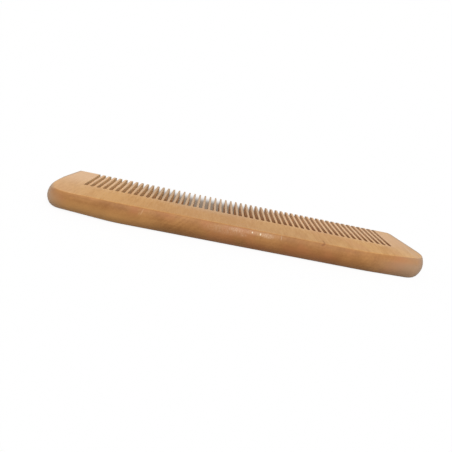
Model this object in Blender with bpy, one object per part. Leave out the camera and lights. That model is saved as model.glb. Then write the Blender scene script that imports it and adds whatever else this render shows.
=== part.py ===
"""One-board wooden comb: a wedge of wood with a round back, two end guards and a row of sawn teeth.

The board is modelled flat on its own middle plane, symmetric above and below, with x along the comb,
y from the back (minus) to the tooth tips (plus), and y = 0 at the floor of the saw cuts. It is then
tipped by half the wedge angle, so that it lies on its flat underside, as it would on a table.
"""
import math

import bmesh
import bpy
from mathutils import Matrix, Vector

MM = 0.001

# tooth row
TOOTH_COUNT = 52
TOOTH_PITCH = 2.89 * MM          # the mean; the cuts were set out by eye, and wander from it
CUT_BOW = -0.7 * MM              # by this much along the comb at the middle of the row
CUT_SWAY = 0.8 * MM              # and by this much more at a quarter of it, and less at three quarters
SAW_KERF = 1.7 * MM
TOOTH_LENGTH = 29.0 * MM
TIP_WIDTH = 0.5 * MM
TIP_TAPER = 11.0 * MM            # the outer stretch over which a tooth draws in to its tip

# board, seen from above
SPINE_WIDTH = 19.7 * MM          # saw-cut floor to the outermost line of the back, at its left bend
BACK_TAPER = 0.9 * MM            # the spine is narrower by this much at its right bend
LEFT_GUARD = 13.3 * MM           # widest, from the first saw cut
RIGHT_GUARD = 15.3 * MM          # widest, from the last saw cut
LEFT_TIP_DRAW = 3.4 * MM         # how far the guard's tooth-side corner lies in from its widest place
RIGHT_TIP_DRAW = 6.7 * MM
LEFT_BACK_DRAW = 0.6 * MM        # the same at the corner by the back
BELLY_RISE = 4.0 * MM            # the left end is widest this far towards the tips
LEFT_FALL_LENGTH = 32.0 * MM     # near each end the back bends, and falls away towards the corner
RIGHT_FALL_LENGTH = 32.0 * MM
LEFT_FALL = 2.8 * MM
RIGHT_FALL = 6.0 * MM
LEFT_BACK_LEAN = -1.9 * MM       # the hand-rounded corners stand further in above (+) than below
RIGHT_BACK_LEAN = 3.2 * MM
RIGHT_END_LEAN = 1.2 * MM        # the right end stands this much further out above, and in below
LEFT_TIP_RADIUS = 1.5 * MM
LEFT_BELLY_RADIUS = 90.0 * MM
LEFT_BACK_RADIUS = 11.5 * MM
LEFT_RADIUS_LEAN = 3.3 * MM      # that corner is this much rounder above, and tighter below
BACK_BEND_RADIUS = 60.0 * MM
RIGHT_BACK_RADIUS = 10.4 * MM
RIGHT_TIP_RADIUS = 8.0 * MM

# board, seen from the end
BACK_THICKNESS = 10.0 * MM
TIP_THICKNESS = 3.3 * MM         # before the tips are bevelled
BACK_BULGE = 2.4 * MM            # how far the round back stands out past its flat faces
BEVEL_LENGTH = 3.5 * MM          # sanded slope along the tips, on both faces
BEVEL_DROP = 0.9 * MM

# fineness of the curves
CORNER_STEPS = 9
BEND_STEPS = 3
EDGE_BANDS = 8
FLARE_STEPS = 5
QUARTER_FLOOR_STEPS = 3
CREASE_ANGLE = math.radians(25)  # sharper edges than this show as creases
OVERRUN = 3.0 * MM               # how far the cutters stand past the board
WELD_DISTANCE = 0.001 * MM

WOOD_COLOR = (0.60, 0.39, 0.20, 1.0)
WOOD_ROUGHNESS = 0.48

half_row = TOOTH_COUNT * TOOTH_PITCH / 2
left_end = -(half_row + SAW_KERF / 2 + LEFT_GUARD)
right_end = half_row + SAW_KERF / 2 + RIGHT_GUARD
face_slope = (BACK_THICKNESS - TIP_THICKNESS) / 2 / (SPINE_WIDTH + TOOTH_LENGTH)
face_angle = math.atan(face_slope)
edge_radius = ((BACK_THICKNESS / 2) ** 2 + BACK_BULGE ** 2) / (2 * BACK_BULGE)


def clear_scene():
    for obj in list(bpy.data.objects):
        bpy.data.objects.remove(obj, do_unlink=True)


def new_collection(name):
    collection = bpy.data.collections.new(name)
    bpy.context.scene.collection.children.link(collection)
    return collection


def half_thickness(y):
    return TIP_THICKNESS / 2 + face_slope * (TOOTH_LENGTH - y)


def board_corners(share):
    """The plan at one level of the edge, from -1 at the lower face to 1 at the upper face.

    It is a list of sharp corners, counter-clockwise from above, with their rounding radii and steps.
    """
    left_fall = LEFT_FALL + LEFT_BACK_LEAN * share
    right_fall = RIGHT_FALL + RIGHT_BACK_LEAN * share
    left_radius = LEFT_BACK_RADIUS + LEFT_RADIUS_LEAN * share
    lean = RIGHT_END_LEAN * share
    return [
        ((left_end + LEFT_TIP_DRAW, TOOTH_LENGTH), LEFT_TIP_RADIUS, BEND_STEPS),
        ((left_end, BELLY_RISE), LEFT_BELLY_RADIUS, BEND_STEPS),
        ((left_end + LEFT_BACK_DRAW, left_fall - SPINE_WIDTH), left_radius, CORNER_STEPS),
        ((left_end + LEFT_FALL_LENGTH, -SPINE_WIDTH), BACK_BEND_RADIUS, BEND_STEPS),
        ((right_end - RIGHT_FALL_LENGTH, BACK_TAPER - SPINE_WIDTH), BACK_BEND_RADIUS, BEND_STEPS),
        ((right_end + lean, right_fall - SPINE_WIDTH), RIGHT_BACK_RADIUS, CORNER_STEPS),
        ((right_end - RIGHT_TIP_DRAW, TOOTH_LENGTH), RIGHT_TIP_RADIUS, CORNER_STEPS),
    ]


def rounded_outline(corners):
    """Points of the outline with its corners rounded, each with the direction into the board."""
    places = [Vector(place) for place, radius, steps in corners]
    outline = []
    for index, (place, radius, steps) in enumerate(corners):
        arriving = (places[index] - places[index - 1]).normalized()
        leaving = (places[(index + 1) % len(places)] - places[index]).normalized()
        turn = -arriving.angle_signed(leaving)
        inward = Vector((-arriving.y, arriving.x))
        centre = places[index] - arriving * radius * math.tan(turn / 2) + inward * radius
        for step in range(steps + 1):
            into_board = Matrix.Rotation(turn * step / steps, 2) @ inward
            outline.append((centre - into_board * radius, into_board))
    return outline


def edge_point(point, into_board, share):
    """A point of the round edge: share runs from -1 at the lower face to 1 at the upper face."""
    fall = face_slope * into_board.y
    thickness = half_thickness(point.y)
    # where the sloping face cuts the edge's circle
    reach = edge_radius + thickness * fall
    inset = (reach - math.sqrt(reach ** 2 - (1 + fall ** 2) * thickness ** 2)) / (1 + fall ** 2)
    full_angle = math.asin((thickness - fall * inset) / edge_radius)
    angle = full_angle * share
    place = point + into_board * edge_radius * (1 - math.cos(angle))
    return Vector((place.x, place.y, edge_radius * math.sin(angle)))


def make_board(collection):
    """The uncut board: the plan outline lofted round its edge, closed by a flat face above and below."""
    bm = bmesh.new()
    rings = []
    for band in range(EDGE_BANDS + 1):
        share = 2 * band / EDGE_BANDS - 1
        outline = rounded_outline(board_corners(share))
        rings.append([bm.verts.new(edge_point(point, into_board, share)) for point, into_board in outline])
    for lower, upper in zip(rings, rings[1:]):
        for index in range(len(lower)):
            strip = bm.faces.new((lower[index - 1], lower[index], upper[index], upper[index - 1]))
            strip.smooth = True
    bm.faces.new(reversed(rings[0]))
    bm.faces.new(rings[-1])
    bmesh.ops.recalc_face_normals(bm, faces=bm.faces)
    mesh = bpy.data.meshes.new("comb")
    bm.to_mesh(mesh)
    bm.free()
    mesh.set_sharp_from_angle(angle=CREASE_ANGLE)
    board = bpy.data.objects.new("comb", mesh)
    collection.objects.link(board)
    return board


def saw_cut_place(cut):
    """The middle of one saw cut along the comb, counted from the left."""
    along = math.pi * cut / TOOTH_COUNT
    wander = CUT_BOW * math.sin(along) + CUT_SWAY * math.sin(2 * along)
    return cut * TOOTH_PITCH - half_row + wander


def saw_cut_outline(middle):
    """One saw cut from above: a round floor, straight walls, then walls that flare to shape the tips."""
    floor_radius = SAW_KERF / 2
    right_wall = []
    for step in range(QUARTER_FLOOR_STEPS + 1):
        angle = math.pi / 2 * step / QUARTER_FLOOR_STEPS
        right_wall.append((floor_radius * math.sin(angle), floor_radius * (1 - math.cos(angle))))
    flare = (TOOTH_PITCH - SAW_KERF - TIP_WIDTH) / 2
    for step in range(FLARE_STEPS + 1):
        share = step / FLARE_STEPS
        y = TOOTH_LENGTH - TIP_TAPER * (1 - share)
        right_wall.append((floor_radius + flare * share ** 2, y))
    right_wall.append((floor_radius + flare, TOOTH_LENGTH + OVERRUN))
    left_wall = [(-x, y) for x, y in reversed(right_wall[1:])]
    return [(middle + x, y) for x, y in right_wall + left_wall]


def make_saw_cuts(collection):
    """All the saw cuts as one cutter, drawn as a filled 2D curve and thickened through the board."""
    curve = bpy.data.curves.new("saw_cuts", "CURVE")
    curve.dimensions = "2D"
    curve.fill_mode = "BOTH"
    curve.extrude = BACK_THICKNESS / 2 + OVERRUN
    for cut in range(TOOTH_COUNT + 1):
        outline = saw_cut_outline(saw_cut_place(cut))
        spline = curve.splines.new("POLY")
        spline.points.add(len(outline) - 1)
        for point, (x, y) in zip(spline.points, outline):
            point.co = (x, y, 0, 1)
        spline.use_cyclic_u = True
    drawing = bpy.data.objects.new("saw_cut_drawing", curve)
    collection.objects.link(drawing)
    cutter = mesh_from_curve(drawing, "saw_cuts")
    collection.objects.link(cutter)
    bpy.data.objects.remove(drawing, do_unlink=True)
    return cutter


def mesh_from_curve(drawing, name):
    """A closed mesh of a filled curve, with the loose rims of its caps welded."""
    bpy.context.view_layer.update()
    evaluated = drawing.evaluated_get(bpy.context.evaluated_depsgraph_get())
    mesh = bpy.data.meshes.new_from_object(evaluated)
    bm = bmesh.new()
    bm.from_mesh(mesh)
    bmesh.ops.remove_doubles(bm, verts=bm.verts, dist=WELD_DISTANCE)
    bmesh.ops.recalc_face_normals(bm, faces=bm.faces)
    bm.to_mesh(mesh)
    bm.free()
    obj = bpy.data.objects.new(name, mesh)
    obj.matrix_world = drawing.matrix_world
    return obj


def make_tip_bevel(collection, side):
    """A long box whose inner face is the sanded slope along the tips, above (1) or below (-1)."""
    length = right_end - left_end + 2 * OVERRUN
    depth = BEVEL_LENGTH + 2 * OVERRUN
    height = BACK_THICKNESS
    mesh = bpy.data.meshes.new("tip_bevel")
    bm = bmesh.new()
    bmesh.ops.create_cube(bm, size=1, matrix=Matrix.Diagonal((length, depth, height, 1)))
    bmesh.ops.translate(bm, verts=bm.verts, vec=(0, depth / 2 - OVERRUN, height / 2 * side))
    bm.to_mesh(mesh)
    bm.free()
    cutter = bpy.data.objects.new("tip_bevel", mesh)
    start = TOOTH_LENGTH - BEVEL_LENGTH
    drop = face_angle + math.atan(BEVEL_DROP / BEVEL_LENGTH)
    cutter.location = ((left_end + right_end) / 2, start, half_thickness(start) * side)
    cutter.rotation_euler.x = -drop * side
    collection.objects.link(cutter)
    return cutter


def cut(board, cutter):
    """Takes the cutter's shape out of the board, and shows the cutter itself as wires only."""
    cutter.hide_render = True
    cutter.display_type = "WIRE"
    boolean = board.modifiers.new(cutter.name, "BOOLEAN")
    boolean.operation = "DIFFERENCE"
    boolean.object = cutter


def make_wood():
    wood = bpy.data.materials.new("wood")
    wood.use_nodes = True
    shader = wood.node_tree.nodes["Principled BSDF"]
    shader.inputs["Base Color"].default_value = WOOD_COLOR
    shader.inputs["Roughness"].default_value = WOOD_ROUGHNESS
    shader.inputs["Metallic"].default_value = 0
    return wood


def lay_on_table(board, collection):
    """Tips the board on to its underside, and puts the origin under the middle of its box."""
    bpy.context.view_layer.update()
    evaluated = board.evaluated_get(bpy.context.evaluated_depsgraph_get())
    tipping = Matrix.Rotation(-face_angle, 4, "X")
    corners = [tipping @ vertex.co for vertex in evaluated.data.vertices]
    low = Vector([min(corner[axis] for corner in corners) for axis in range(3)])
    high = Vector([max(corner[axis] for corner in corners) for axis in range(3)])
    table = bpy.data.objects.new("table_frame", None)
    table.location = (-(low.x + high.x) / 2, -(low.y + high.y) / 2, -low.z)
    table.rotation_euler.x = -face_angle
    collection.objects.link(table)
    return table


def build():
    clear_scene()
    parts = new_collection("wooden_comb")
    cutters = new_collection("comb_cutters")
    board = make_board(parts)
    board.data.materials.append(make_wood())
    tools = [make_tip_bevel(cutters, 1), make_tip_bevel(cutters, -1), make_saw_cuts(cutters)]
    for cutter in tools:
        cut(board, cutter)
    table = lay_on_table(board, parts)
    for obj in [board] + tools:
        obj.parent = table


build()
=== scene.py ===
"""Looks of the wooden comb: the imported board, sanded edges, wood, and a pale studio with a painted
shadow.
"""
import math

import bmesh
import bpy
import numpy as np
from mathutils import Euler, Matrix, Vector


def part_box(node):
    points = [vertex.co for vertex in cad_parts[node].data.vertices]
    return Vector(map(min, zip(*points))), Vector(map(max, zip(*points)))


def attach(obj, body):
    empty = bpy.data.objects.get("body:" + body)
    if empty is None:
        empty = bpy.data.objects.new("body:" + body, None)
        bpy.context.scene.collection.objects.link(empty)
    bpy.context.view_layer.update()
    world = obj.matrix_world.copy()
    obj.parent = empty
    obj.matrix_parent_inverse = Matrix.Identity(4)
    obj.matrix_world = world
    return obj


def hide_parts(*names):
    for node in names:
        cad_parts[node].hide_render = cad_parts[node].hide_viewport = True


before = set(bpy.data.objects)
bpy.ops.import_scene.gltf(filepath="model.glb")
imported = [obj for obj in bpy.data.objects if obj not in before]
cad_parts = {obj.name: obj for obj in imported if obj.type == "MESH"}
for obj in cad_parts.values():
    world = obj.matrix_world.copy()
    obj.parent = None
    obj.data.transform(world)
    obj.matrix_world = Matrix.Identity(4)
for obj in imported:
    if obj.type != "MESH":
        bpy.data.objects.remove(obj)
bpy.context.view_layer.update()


# Camera
# A short lens in front of the round back and a little above it, left of the middle. The camera is rolled,
# so that the comb runs down to the right, as it does in the photograph.
MM = 0.001
CAMERA_PLACE = Vector((-19.70, -180.07, 83.91)) * MM
CAMERA_TURN = Euler([math.radians(angle) for angle in (64.100, -11.777, 1.451)])
LENS = 31.858
SENSOR_WIDTH = 36
NEAREST_SHOWN = 1 * MM

bpy.ops.object.camera_add(location=CAMERA_PLACE, rotation=CAMERA_TURN)
camera = bpy.context.object
camera.name = "camera"
camera.data.lens = LENS
camera.data.sensor_width = SENSOR_WIDTH
camera.data.clip_start = NEAREST_SHOWN
bpy.context.scene.camera = camera


# Sawn board
# One flat board of close-grained wood, thick at the round back and thin at the tips, with the slots sawn
# into its thin side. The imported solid's loose triangles become the whole faces that saw and sander left.
MERGE_DISTANCE = 0.04 * MM
FLAT_WITHIN = math.radians(0.3)
UPRIGHT_SHARE = 0.9
TIP_DEPTH = 1.0 * MM
TIP_BLEND = math.radians(12)
ROW_END = 77.3 * MM
SPINE_FRONT = -6 * MM
STRIP_BLEND = math.radians(25)
ANY_SHAPE = math.radians(180)
GUARD_TIP_START = 18 * MM
TIP_SLIVER = 0.5 * MM

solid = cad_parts["comb"]
comb = bpy.data.objects.new("wooden_comb", solid.data.copy())
bpy.context.scene.collection.objects.link(comb)
comb.data.name = comb.name
tip_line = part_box("comb")[1].y


def edit(piece, mode):
    """Puts only this piece in edit mode, with all of its vertices, edges or faces selected."""
    bpy.ops.object.select_all(action="DESELECT")
    piece.select_set(True)
    bpy.context.view_layer.objects.active = piece
    bpy.ops.object.mode_set(mode="EDIT")
    bpy.ops.mesh.select_mode(type=mode)
    bpy.ops.mesh.select_all(action="SELECT")


def leave_edit():
    bpy.ops.object.mode_set(mode="OBJECT")


def select_only(piece, kind, wanted):
    """Selects the verts or faces of a piece in edit mode for which wanted says yes."""
    bpy.ops.mesh.select_all(action="DESELECT")
    mesh = bmesh.from_edit_mesh(piece.data)
    mesh.normal_update()
    for element in getattr(mesh, kind):
        element.select_set(wanted(element))
    bmesh.update_edit_mesh(piece.data)


def is_tip(face):
    """The blunt end of a tooth or guard."""
    return face.normal.y > UPRIGHT_SHARE and face.calc_center_median().y > tip_line - TIP_DEPTH


def is_round_edge(face):
    """A strip of the round edge that runs over the back, the two ends and the guards' tips."""
    middle = face.calc_center_median()
    return abs(face.normal.z) < UPRIGHT_SHARE and (abs(middle.x) > ROW_END or middle.y < SPINE_FRONT)


def is_at_guard_tip(vertex, side):
    """A corner near the tip of this side's guard, where the round edge's strips end in slivers."""
    return vertex.co.x * side > ROW_END and vertex.co.y > GUARD_TIP_START


edit(comb, "FACE")
bpy.ops.mesh.remove_doubles(threshold=MERGE_DISTANCE)
bpy.ops.mesh.dissolve_limited(angle_limit=FLAT_WITHIN)
select_only(comb, "faces", is_tip)
bpy.ops.mesh.dissolve_limited(angle_limit=TIP_BLEND)
select_only(comb, "faces", is_round_edge)
bpy.ops.mesh.tris_convert_to_quads(face_threshold=STRIP_BLEND, shape_threshold=ANY_SHAPE)
leave_edit()
edit(comb, "VERT")
# one guard at a time, because what merges with what depends on all that is selected
for side in (-1, 1):
    select_only(comb, "verts", lambda vertex: is_at_guard_tip(vertex, side))
    bpy.ops.mesh.remove_doubles(threshold=TIP_SLIVER)


# Sanded edges
# The crease where a flat face meets the round edge is sanded off by hand: wide along the back and ends,
# narrower at the guards' tips and where the round edge is narrow. Every other edge is just eased.
CREASE_WIDTH = 0.6 * MM
CREASE_ROWS = 4
FLAT_FACE_SHARE = 0.9
ROUND_FACE_SHARE = 0.85
WIDTH_PLACES = (2 * MM, 14 * MM)
WIDTH_SHARES = (1, 0.4)
ROOM_SHARE = 0.6
EDGE_WIDTH = 0.14 * MM
EDGE_ROWS = 2
SHARP_ANGLE = math.radians(35)
LEAST_SIZE = 0.005 * MM
SMOOTH_ANGLE = math.radians(40)

mesh = bmesh.from_edit_mesh(comb.data)
mesh.normal_update()
upper_face = max(mesh.faces, key=lambda face: face.calc_area() * (face.normal.z > UPRIGHT_SHARE))
half_wedge = math.atan2(upper_face.normal.y, upper_face.normal.z) / 2
level = Matrix.Rotation(half_wedge, 3, "X")
width_shares = mesh.edges.layers.float.new("bevel_weight_edge")
for edge in mesh.edges:
    flat, side = sorted(edge.link_faces, key=lambda face: -abs((level @ face.normal).z))
    flat_share = abs((level @ flat.normal).z)
    side_share = abs((level @ side.normal).z)
    if flat_share > FLAT_FACE_SHARE and side_share < ROUND_FACE_SHARE and is_round_edge(side):
        start, end = (vertex.co for vertex in edge.verts)
        along = (end - start).normalized()
        offsets = [vertex.co - start for vertex in side.verts if vertex not in edge.verts]
        room = min((offset - offset.dot(along) * along).length for offset in offsets)
        wanted_share = np.interp((start.y + end.y) / 2, WIDTH_PLACES, WIDTH_SHARES)
        edge[width_shares] = min(wanted_share, ROOM_SHARE * room / CREASE_WIDTH)
bmesh.update_edit_mesh(comb.data)
leave_edit()


def finish_with(piece, kind, **settings):
    """Adds one modifier to a piece with these settings, and applies it."""
    bpy.ops.object.select_all(action="DESELECT")
    piece.select_set(True)
    bpy.context.view_layer.objects.active = piece
    modifier = piece.modifiers.new(kind.lower(), kind)
    for name, setting in settings.items():
        setattr(modifier, name, setting)
    bpy.ops.object.modifier_apply(modifier=modifier.name)


finish_with(comb, "BEVEL", limit_method="WEIGHT", width=CREASE_WIDTH, segments=CREASE_ROWS,
            use_clamp_overlap=False)
finish_with(comb, "BEVEL", limit_method="ANGLE", angle_limit=SHARP_ANGLE, width=EDGE_WIDTH,
            segments=EDGE_ROWS, use_clamp_overlap=False, loop_slide=False)
edit(comb, "FACE")
bpy.ops.mesh.dissolve_degenerate(threshold=LEAST_SIZE)
leave_edit()
bpy.ops.object.shade_smooth_by_angle(angle=SMOOTH_ANGLE)
finish_with(comb, "WEIGHTED_NORMAL", keep_sharp=True)
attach(comb, "root")
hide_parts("comb")


# Wood
# Pale honey-coloured wood, sanded and waxed to a satin gloss. Its grain runs along the teeth, so the back
# and the ends show redder end grain. The slot walls are rough from the saw, and handling has worn it.
# Some of its colour is painted light, shade and highlight.
NOISE_MIDDLE = 0.5
USUAL_ROUGH_SHARE = 0.5


class Shade:
    """One output of a node. Python's arithmetic on it adds Math nodes."""

    def __init__(self, tree, socket):
        self.tree = tree
        self.socket = socket

    def feed(self, name, value):
        """Gives an input of this output's node a value, or a link from another Shade."""
        entry = self.socket.node.inputs[name]
        if isinstance(value, Shade):
            self.tree.links.new(value.socket, entry)
        else:
            entry.default_value = value

    def add(self, kind, settings, inputs, output=0):
        """Adds a node: its settings first, then the value or link of each of its inputs."""
        node = self.tree.nodes.new(kind)
        for name, setting in settings.items():
            setattr(node, name, setting)
        shade = Shade(self.tree, node.outputs[output])
        for name, value in inputs.items():
            shade.feed(name, value)
        return shade

    def math(self, operation, first, second):
        return self.add("ShaderNodeMath", {"operation": operation}, {0: first, 1: second})

    def __add__(self, other):
        return self.math("ADD", self, other)

    def __sub__(self, other):
        return self.math("SUBTRACT", self, other)

    def __rsub__(self, other):
        return self.math("SUBTRACT", other, self)

    def __mul__(self, other):
        return self.math("MULTIPLY", self, other)

    def __abs__(self):
        return self.math("ABSOLUTE", self, 0)

    __radd__ = __add__
    __rmul__ = __mul__

    def rise(self, start, end):
        """Goes smoothly from 0 to 1 as the value goes from start to end, whichever is larger."""
        return self.add("ShaderNodeMapRange", {"interpolation_type": "SMOOTHSTEP"},
                        {"Value": self, "From Min": start, "From Max": end})

    def blend(self, lower, upper):
        """Blends one colour, a Mix node's input 6, into another, its input 7, as the value goes to 1."""
        return self.add("ShaderNodeMix", {"data_type": "RGBA"}, {0: self, 6: lower, 7: upper}, output=2)

    def parts(self):
        """The X, Y and Z of a vector."""
        return [self.add("ShaderNodeSeparateXYZ", {}, {"Vector": self}, output=axis) for axis in "XYZ"]


def new_material(piece, name):
    """Gives a piece a fresh material, and returns the output of its shader."""
    material = bpy.data.materials.new(name)
    material.use_nodes = True
    piece.data.materials.clear()
    piece.data.materials.append(material)
    tree = material.node_tree
    return Shade(tree, tree.nodes["Principled BSDF"].outputs["BSDF"])


wood = new_material(comb, "wood")
place = wood.add("ShaderNodeTexCoord", {}, {}, output="Object")
x, y, z = place.parts()
facing_x, facing_y, facing_z = wood.add("ShaderNodeTexCoord", {}, {}, output="Normal").parts()
# 1 on a level face, and 0 on an upright wall
levelness = abs(facing_z)


def mottle(size, start, detail=2, rough_share=USUAL_ROUGH_SHARE, at=place):
    """Soft noise with spots of this size in mm. Each noise starts elsewhere, so that no two are alike."""
    scale = [1 / (length * MM) for length in size]
    mapped = place.add("ShaderNodeMapping", {}, {"Vector": at, "Location": start, "Scale": scale})
    return place.add("ShaderNodeTexNoise", {},
                     {"Vector": mapped, "Scale": 1, "Detail": detail, "Roughness": rough_share})


def spot(middle, size, softness, slant=0):
    """1 inside an oval, fading to 0 outside it: its middle and half size in mm, and how far it leans."""
    offset = place.add("ShaderNodeMapping", {"vector_type": "TEXTURE"},
                       {"Vector": place, "Location": Vector(middle) * MM, "Rotation": (0, slant, 0),
                        "Scale": Vector(size) * MM})
    distance = place.add("ShaderNodeVectorMath", {"operation": "LENGTH"}, {0: offset}, output="Value")
    return 1 - distance.rise(1 - softness, 1 + softness)


# the flat faces: long streaks, broad bands and soft clouds that run with the teeth
LIGHT_WOOD = (0.70, 0.395, 0.147, 1)
DARK_WOOD = (0.55, 0.275, 0.085, 1)
PINK_WOOD = (0.68, 0.345, 0.150, 1)
STREAKS = dict(size=(1.1, 26, 1.1), start=(3, 0, 0), detail=3)
STREAK_SHARE = 0.65
FINE_STREAKS = dict(size=(0.45, 5, 0.45), start=(8, 2, 3))
FINE_STREAK_SHARE = 0.55
BANDS = dict(size=(11, 90, 11), start=(7, 1, 2))
BAND_SHARE = 0.5
CLOUDS = dict(size=(14, 22, 14), start=(1, 5, 3))
CLOUD_SHARE = 0.45
TONE_DROP = 0.57
DARK_TONES = (0.32, 0.68)
PINK_TONES = (0.45, 0.75)
PINK_SHARE = 0.5
streaks = mottle(**STREAKS)
fine_streaks = mottle(**FINE_STREAKS)
bands = mottle(**BANDS)
clouds = mottle(**CLOUDS)
tone = streaks * STREAK_SHARE + fine_streaks * FINE_STREAK_SHARE
tone = tone + bands * BAND_SHARE + clouds * CLOUD_SHARE - TONE_DROP
long_grain = tone.rise(*DARK_TONES).blend(LIGHT_WOOD, DARK_WOOD)
long_grain = (clouds.rise(*PINK_TONES) * PINK_SHARE).blend(long_grain, PINK_WOOD)

# paler towards the tips, in the right half of the row of teeth, and a little towards the left end
PALE_WOOD = (0.80, 0.53, 0.33, 1)
PALER_REACH = (-12 * MM, 12 * MM)
PALER_SHARE = 0.76
LESS_PALE_REACH = (70 * MM, 82 * MM)
LESS_PALE_SHARE = 0.45
LEFT_PALE_REACH = (-55 * MM, -88 * MM)
LEFT_PALE_SHARE = 0.30
ROW_FADE = 0.5 * MM
SLOT_FLOOR = -4.9 * MM
RIGHT_ROW_REACH = (-5 * MM, 40 * MM)
RIGHT_ROW_DEPTH = (12 * MM, SLOT_FLOOR)
RIGHT_ROW_SHARE = 0.22
in_row = (1 - abs(x).rise(ROW_END - ROW_FADE, ROW_END)) * y.rise(SLOT_FLOOR - ROW_FADE, SLOT_FLOOR)
right_row = in_row * x.rise(*RIGHT_ROW_REACH) * y.rise(*RIGHT_ROW_DEPTH) * RIGHT_ROW_SHARE
less_pale = x.rise(*LESS_PALE_REACH) * LESS_PALE_SHARE
left_paler = x.rise(*LEFT_PALE_REACH) * LEFT_PALE_SHARE
tips_paler = y.rise(*PALER_REACH) * (PALER_SHARE - less_pale - left_paler)
long_grain = (tips_paler + left_paler + right_row).blend(long_grain, PALE_WOOD)

# broad tints of the flat faces: where each is, its half size in mm, how soft, how strong, and its colour
GOLD_WOOD = (0.56, 0.265, 0.072, 1)
DULL_WOOD = (0.49, 0.262, 0.112, 1)
GREY_PALE = (0.55, 0.375, 0.235, 1)
COOL_PALE = (0.66, 0.46, 0.31, 1)
TINTS = [((-38, -17, 6), (34, 12, 20), 0.9, 0.45, GOLD_WOOD),
         ((4, -17, 6), (44, 14, 20), 0.7, 0.45, DULL_WOOD),
         ((-18, 14, 5), (38, 19, 20), 0.4, 0.90, GREY_PALE),
         ((86, 4, 5), (12, 26, 20), 0.7, 0.35, COOL_PALE),
         ((84, -8, 7), (1.3, 9, 4), 0.7, 0.35, COOL_PALE)]
for middle, size, softness, tint_share, tint in TINTS:
    long_grain = (spot(middle, size, softness) * tint_share).blend(long_grain, tint)

# end grain of the back and the ends: blotches, red patches, faint streaks along it, and growth rings
# that cross it slantwise and are clear in one place
LIGHT_END = (0.525, 0.245, 0.078, 1)
DARK_END = (0.35, 0.143, 0.040, 1)
RED_END = (0.50, 0.190, 0.068, 1)
BLOTCHES = dict(size=(7, 60, 7), start=(4, 4, 1), detail=3)
BLOTCH_SHARE = 0.55
RINGS = dict(size=(1.0, 60, 12), start=(0, 0, 0), detail=3)
RING_SLANT = math.radians(45)
RING_SHARE = 0.2
CLEAR_RINGS = dict(middle=(-31, -23, 6.5), size=(7, 6, 5), softness=0.6)
CLEAR_RING_SHARE = 0.4
BACK_STREAKS = dict(size=(15, 60, 0.8), start=(2, 6, 4), detail=3)
BACK_STREAK_SHARE = 0.3
GRIT = dict(size=(0.7, 5, 0.7), start=(5, 5, 2))
GRIT_SHARE = 0.3
END_TONE_DROP = 0.07
DARK_END_TONES = (0.25, 0.75)
RED_BLOTCHES = dict(size=(12, 60, 12), start=(9, 3, 6))
RED_TONES = (0.48, 0.68)
RED_SHARE = 0.6
blotches = mottle(**BLOTCHES)
turned = place.add("ShaderNodeMapping", {"vector_type": "TEXTURE"},
                   {"Vector": place, "Rotation": (0, RING_SLANT, 0)})
rings = mottle(**RINGS, at=turned)
ring_shares = RING_SHARE + CLEAR_RING_SHARE * spot(**CLEAR_RINGS)
back_streaks = mottle(**BACK_STREAKS)
grit = mottle(**GRIT)
end_tone = blotches * BLOTCH_SHARE + (rings - NOISE_MIDDLE) * ring_shares
end_tone = end_tone + back_streaks * BACK_STREAK_SHARE + grit * GRIT_SHARE - END_TONE_DROP
end_color = end_tone.rise(*DARK_END_TONES).blend(LIGHT_END, DARK_END)
red_blotches = mottle(**RED_BLOTCHES)
end_color = (red_blotches.rise(*RED_TONES) * RED_SHARE).blend(end_color, RED_END)

# low down, the end grain is lighter towards the left end; right of the middle it is redder, and darker
# with a painted shade
LOW_REACH = (8 * MM, 3 * MM)
LOW_LEFT_END = (0.82, 0.41, 0.135, 1)
LOW_LEFT_REACH = (-28 * MM, -66 * MM)
LOW_LEFT_SHARE = 0.85
LOW_RED_SHADE_END = (0.43, 0.140, 0.042, 1)
LOW_RED_LEFT = (-2 * MM, 12 * MM)
LOW_RED_RIGHT = (62 * MM, 40 * MM)
LOW_RED_SHADE_SHARE = 0.35
END_GRAIN_FACING = (0.18, 0.50)
END_GRAIN_SHARE = 0.95
low = z.rise(*LOW_REACH)
low_left = low * x.rise(*LOW_LEFT_REACH)
end_color = (low_left * LOW_LEFT_SHARE).blend(end_color, LOW_LEFT_END)
low_red_shade = low * x.rise(*LOW_RED_LEFT) * x.rise(*LOW_RED_RIGHT)
end_color = (low_red_shade * LOW_RED_SHADE_SHARE).blend(end_color, LOW_RED_SHADE_END)
end_grain = abs(facing_y).rise(*END_GRAIN_FACING)
color = (end_grain * END_GRAIN_SHARE).blend(long_grain, end_color)

# fine dark pores all over
PORE_BROWN = (0.36, 0.18, 0.07, 1)
PORES = dict(size=(0.22, 3.2, 0.22), start=(0, 2, 9), detail=1)
PORE_TONES = (0.60, 0.74)
PORE_SHARE = 0.25
pores = mottle(**PORES).rise(*PORE_TONES)
color = (pores * PORE_SHARE).blend(color, PORE_BROWN)

# the ends and the rims are greyer, and a painted contact shade darkens the foot of the back
GREY_END = (0.46, 0.315, 0.205, 1)
GREY_RIM = (0.42, 0.30, 0.21, 1)
RIGHT_GREY_REACH = (54 * MM, 88 * MM)
RIGHT_GREY_SHARE = 0.72
LEFT_GREY_REACH = (-76 * MM, -90 * MM)
LEFT_GREY_SHARE = 0.75
UPPER_REACH = (5 * MM, 9 * MM)
UPPER_LESS_SHARE = 0.75
GREY_END_LEVELNESS = (0.9, 0.5)
RIM_REACH = (-20 * MM, -12 * MM)
RIM_LEVELNESS = (0.985, 0.92)
RIM_SHARE = 0.75
FOOT_SHADE_BROWN = (0.20, 0.12, 0.07, 1)
FOOT_REACH = (1.0 * MM, 0.3 * MM)
FOOT_SHADE_SHARE = 0.3
RIGHT_LEAN = 0.165
RIGHT_RIM = (86.0 * MM, 87.2 * MM)
LEFT_LEAN = 0.11
LEFT_RIM = (87.3 * MM, 88.4 * MM)
GREY_RIMS_LEVELNESS = (0.9, 0.97)
GREY_RIMS_SHARE = 0.7
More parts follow.
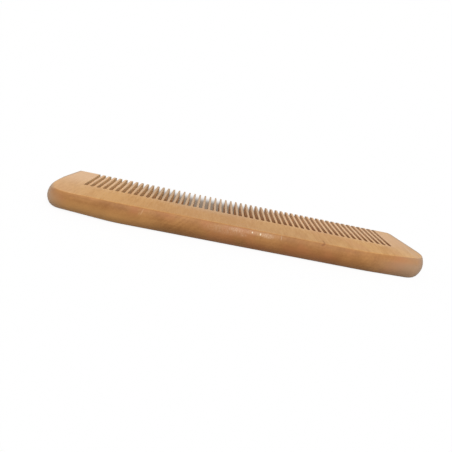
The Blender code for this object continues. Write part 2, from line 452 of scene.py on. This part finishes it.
greyer_ends = x.rise(*RIGHT_GREY_REACH) * RIGHT_GREY_SHARE + x.rise(*LEFT_GREY_REACH) * LEFT_GREY_SHARE
greyer_ends = greyer_ends * (1 - z.rise(*UPPER_REACH) * UPPER_LESS_SHARE)
color = (greyer_ends * levelness.rise(*GREY_END_LEVELNESS)).blend(color, GREY_END)
rim = levelness.rise(*RIM_LEVELNESS) * y.rise(*RIM_REACH) * (1 - in_row)
color = (rim * RIM_SHARE).blend(color, GREY_RIM)
# painted contact shade along the foot of the back, where it lies on the table
foot_shade = z.rise(*FOOT_REACH) * end_grain
color = (foot_shade * FOOT_SHADE_SHARE).blend(color, FOOT_SHADE_BROWN)
grey_rims = (x + y * RIGHT_LEAN).rise(*RIGHT_RIM) + (y * LEFT_LEAN - x).rise(*LEFT_RIM)
grey_rims = grey_rims * levelness.rise(*GREY_RIMS_LEVELNESS)
color = (grey_rims * GREY_RIMS_SHARE).blend(color, GREY_RIM)

# the sanded tips are grey, and the slot walls are as the saw left them. Their colour holds painted light:
# paler than the flat faces, and paler still where they face right. Towards the floors of the slots it holds
# a painted shade of deep brown
GREY_TIP = (0.42, 0.335, 0.26, 1)
TIP_LENGTH = 4 * MM
TIP_END = 1.2 * MM
TIP_SHARE = 0.75
SAWN_LIT_WOOD = (0.79, 0.53, 0.327, 1)
SAWN_LIT_PALE = (0.95, 0.68, 0.37, 1)
LIT_FACING = (-0.3, 0.3)
SLOT_SHADE_BROWN = (0.49, 0.205, 0.060, 1)
SLOT_SHADE_REACH = (9 * MM, SLOT_FLOOR)
SLOT_SHADE_LEFT_REACH = (-30 * MM, -70 * MM)
SLOT_SHADE_LEFT_LESS_SHARE = 0.6
SLOT_SHADE_SHARE = 0.9
SAWN_LEVELNESS = (0.6, 0.15)
TIP_FACING = (0.3, 0.7)
SAWN_SHARE = 0.9
tips = y.rise(tip_line - TIP_LENGTH, tip_line - TIP_END)
color = (tips * TIP_SHARE).blend(color, GREY_TIP)
# painted light on the walls, most where they face right, and painted shade towards the slot floors
sawn_lit_and_shaded = facing_x.rise(*LIT_FACING).blend(SAWN_LIT_WOOD, SAWN_LIT_PALE)
slot_shade = y.rise(*SLOT_SHADE_REACH) * (1 - x.rise(*SLOT_SHADE_LEFT_REACH) * SLOT_SHADE_LEFT_LESS_SHARE)
sawn_lit_and_shaded = (slot_shade * SLOT_SHADE_SHARE).blend(sawn_lit_and_shaded, SLOT_SHADE_BROWN)
sawn = levelness.rise(*SAWN_LEVELNESS) * in_row * (1 - tips * facing_y.rise(*TIP_FACING))
color = (sawn * SAWN_SHARE).blend(color, sawn_lit_and_shaded)

# scuffs along the middle of the back, worn and painted paler as a highlight: where each patch is, its half
# size in mm, and how far it is worn and lit
SCUFF_HIGHLIGHT_PALE = (0.80, 0.56, 0.37, 1)
SCUFFS = dict(size=(0.4, 1.4, 0.8), start=(2, 8, 1), detail=4, rough_share=0.7)
SCUFF_TONES = (0.42, 0.66)
SCUFF_SOFTNESS = 0.6
OFF_SCUFF_SHARE = 0.2
ON_SCUFF_SHARE = 0.9
SCUFF_HIGHLIGHT_PATCHES = [((-8, -23.2, 7.3), (9, 4, 1.5), 0.22),
                 ((-3.2, -22.6, 8.4), (2.4, 3, 0.7), 0.45),
                 ((0.0, -23.3, 6.9), (1.2, 3, 0.5), 0.35),
                 ((4.5, -22.4, 8.4), (4.0, 3, 0.7), 0.25),
                 ((10.8, -22.5, 8.3), (2.6, 3, 0.9), 0.55)]
scuffs = mottle(**SCUFFS).rise(*SCUFF_TONES)
scuffed_and_lit = OFF_SCUFF_SHARE + ON_SCUFF_SHARE * scuffs
for middle, size, worn_and_lit_share in SCUFF_HIGHLIGHT_PATCHES:
    color = (spot(middle, size, SCUFF_SOFTNESS) * worn_and_lit_share * scuffed_and_lit).blend(color, SCUFF_HIGHLIGHT_PALE)

# small marks on the back: where each is, its half size in mm, how far it leans, how strong, its colour
GLINT_AND_MARK_PALE = (0.95, 0.78, 0.56, 1)
STREAK_END = (0.66, 0.38, 0.18, 1)
FLECK_BROWN = (0.26, 0.095, 0.028, 1)
RED_LINE = (0.36, 0.15, 0.055, 1)
MARK_SOFTNESS = 0.5
# the first two marks are painted glints on the scuffed patch, and the third is a pale mark
MARKS = [((3.9, -22.4, 8.5), (0.29, 1, 0.29), 0, 0.95, GLINT_AND_MARK_PALE),
         ((7.6, -22.5, 8.4), (0.27, 1, 0.42), 0, 0.95, GLINT_AND_MARK_PALE),
         ((17.1, -22.1, 8.6), (0.20, 2, 0.9), 0, 0.22, GLINT_AND_MARK_PALE),
         ((-44.9, -23.0, 8.1), (0.28, 2, 1.2), math.radians(22), 0.50, STREAK_END),
         ((-46.0, -23.5, 7.4), (0.25, 2, 0.6), math.radians(22), 0.30, STREAK_END),
         ((37.0, -19.0, 9.3), (0.34, 1.8, 0.8), 0, 0.70, FLECK_BROWN),
         ((36.4, -21.5, 9.1), (1.2, 1.0, 0.35), math.radians(-24), 0.70, FLECK_BROWN),
         ((-10, -21.7, 9.2), (28, 0.4, 0.3), 0, 0.25, RED_LINE)]
for middle, size, slant, mark_share, mark_color in MARKS:
    color = (spot(middle, size, MARK_SOFTNESS, slant) * mark_share).blend(color, mark_color)

# satin gloss, duller on the sawn walls and polished by the hand on the middle of the back
WAXED_SPECULAR = 0.28
SATIN_ROUGHNESS = 0.52
STREAK_ROUGHNESS = 0.12
SAWN_ROUGHNESS = 0.75
POLISHED_ROUGHNESS = 0.36
POLISHED = dict(middle=(3.5, -22.6, 8.2), size=(15, 4, 1.7), softness=0.5)
polished = spot(**POLISHED)
roughness = SATIN_ROUGHNESS + (streaks - NOISE_MIDDLE) * STREAK_ROUGHNESS
roughness = roughness + sawn * (SAWN_ROUGHNESS - SATIN_ROUGHNESS)
roughness = roughness + polished * (POLISHED_ROUGHNESS - SATIN_ROUGHNESS)

# the grain stands up a little, most where the back is scuffed
FINE_RELIEF = dict(size=(0.5, 0.8, 0.5), start=(6, 1, 4), detail=3, rough_share=0.6)
STREAK_RELIEF_SHARE = 0.5
FINE_RELIEF_SHARE = 0.45
PORE_RELIEF_SHARE = 0.35
SCUFF_RELIEF_SHARE = 0.6
RELIEF_DEPTH = 0.05 * MM
RELIEF_STRENGTH = 0.45
fine_relief = mottle(**FINE_RELIEF)
height = streaks * STREAK_RELIEF_SHARE + fine_relief * FINE_RELIEF_SHARE - pores * PORE_RELIEF_SHARE
height = height + polished * fine_relief * SCUFF_RELIEF_SHARE
normal = place.add("ShaderNodeBump", {},
                   {"Strength": RELIEF_STRENGTH, "Distance": RELIEF_DEPTH, "Height": height},
                   output="Normal")
wood.feed("Specular IOR Level", WAXED_SPECULAR)
wood.feed("Base Color", color)
wood.feed("Roughness", roughness)
wood.feed("Normal", normal)


# Table
# A white surface under the comb, seen mostly as an even glow, so the comb's own shadow on it is faint.
# A patch under the teeth is coloured brown to stand in for that shadow, and is darker than the light
# would make it. The surface throws only a little light back under the comb.
TABLE_REACH = 3000 * MM
TABLE_GAP = 0.02 * MM
TABLE_GREY = (0.17, 0.17, 0.175, 1)
TABLE_WHITE = (0.95, 0.95, 0.95, 1)
GLOW_WHITE = (1, 1, 1, 1)
GLOW_SHARE = 0.9
SHADED_BROWN = (0.195, 0.133, 0.080, 1)
SHADED_GLOW_SHARE = 0.75
SHADED_HALF_LENGTH = 82 * MM
SHADED_FRONT = -10 * MM
SHADED_BACK = 24.6 * MM
SHADE_FADE = 4.75 * MM

bpy.ops.mesh.primitive_plane_add(size=TABLE_REACH, location=(0, 0, -TABLE_GAP))
table = bpy.context.object
table.name = "table"
under_light = new_material(table, "table_white")
under_light.feed("Base Color", TABLE_GREY)
under_light.feed("Roughness", 1)
direct, glossy, through = [under_light.add("ShaderNodeLightPath", {}, {}, output=ray)
                           for ray in ("Is Camera Ray", "Is Glossy Ray", "Is Transmission Ray")]
seen = (direct + glossy + through).rise(0, 1)
table_x, table_y, _ = under_light.add("ShaderNodeTexCoord", {}, {}, output="Object").parts()
shaded = 1 - abs(table_x).rise(SHADED_HALF_LENGTH - SHADE_FADE, SHADED_HALF_LENGTH + SHADE_FADE)
shaded = shaded * table_y.rise(SHADED_FRONT - SHADE_FADE, SHADED_FRONT)
shaded = shaded * (1 - table_y.rise(SHADED_BACK - SHADE_FADE, SHADED_BACK + SHADE_FADE))
glow_color = shaded.blend(GLOW_WHITE, SHADED_BROWN)
glow_shares = GLOW_SHARE - shaded * (GLOW_SHARE - SHADED_GLOW_SHARE)
white_surface = seen.add("ShaderNodeBsdfDiffuse", {}, {"Color": TABLE_WHITE})
white_glow = seen.add("ShaderNodeEmission", {}, {"Color": glow_color, "Strength": 1})
seen_white = seen.add("ShaderNodeMixShader", {}, {0: glow_shares, 1: white_surface, 2: white_glow})
surface = seen.add("ShaderNodeMixShader", {}, {0: seen, 1: under_light, 2: seen_white})
surface.tree.links.new(surface.socket, surface.tree.nodes["Material Output"].inputs["Surface"])


# Studio light
# One very broad lamp high in front of the back, and even light from all round. The surroundings are
# seen as white.
LAMP_STRENGTH = 1.95
LAMP_ANGLE = math.radians(50)
LAMP_TURN = (math.radians(28), math.radians(3), 0)
ROUND_LIGHT = 0.50
ROUND_WHITE = (1, 1, 1, 1)

bpy.ops.object.light_add(type="SUN", rotation=LAMP_TURN)
lamp = bpy.context.object
lamp.name = "lamp"
lamp.data.energy = LAMP_STRENGTH
lamp.data.angle = LAMP_ANGLE
world = bpy.data.worlds.new("studio")
bpy.context.scene.world = world
world.use_nodes = True
surroundings = Shade(world.node_tree, world.node_tree.nodes["Background"].outputs["Background"])
seen_round = surroundings.add("ShaderNodeLightPath", {}, {}, output="Is Camera Ray")
surroundings.feed("Color", ROUND_WHITE)
surroundings.feed("Strength", seen_round * (1 - ROUND_LIGHT) + ROUND_LIGHT)
bpy.context.scene.view_settings.view_transform = "Standard"
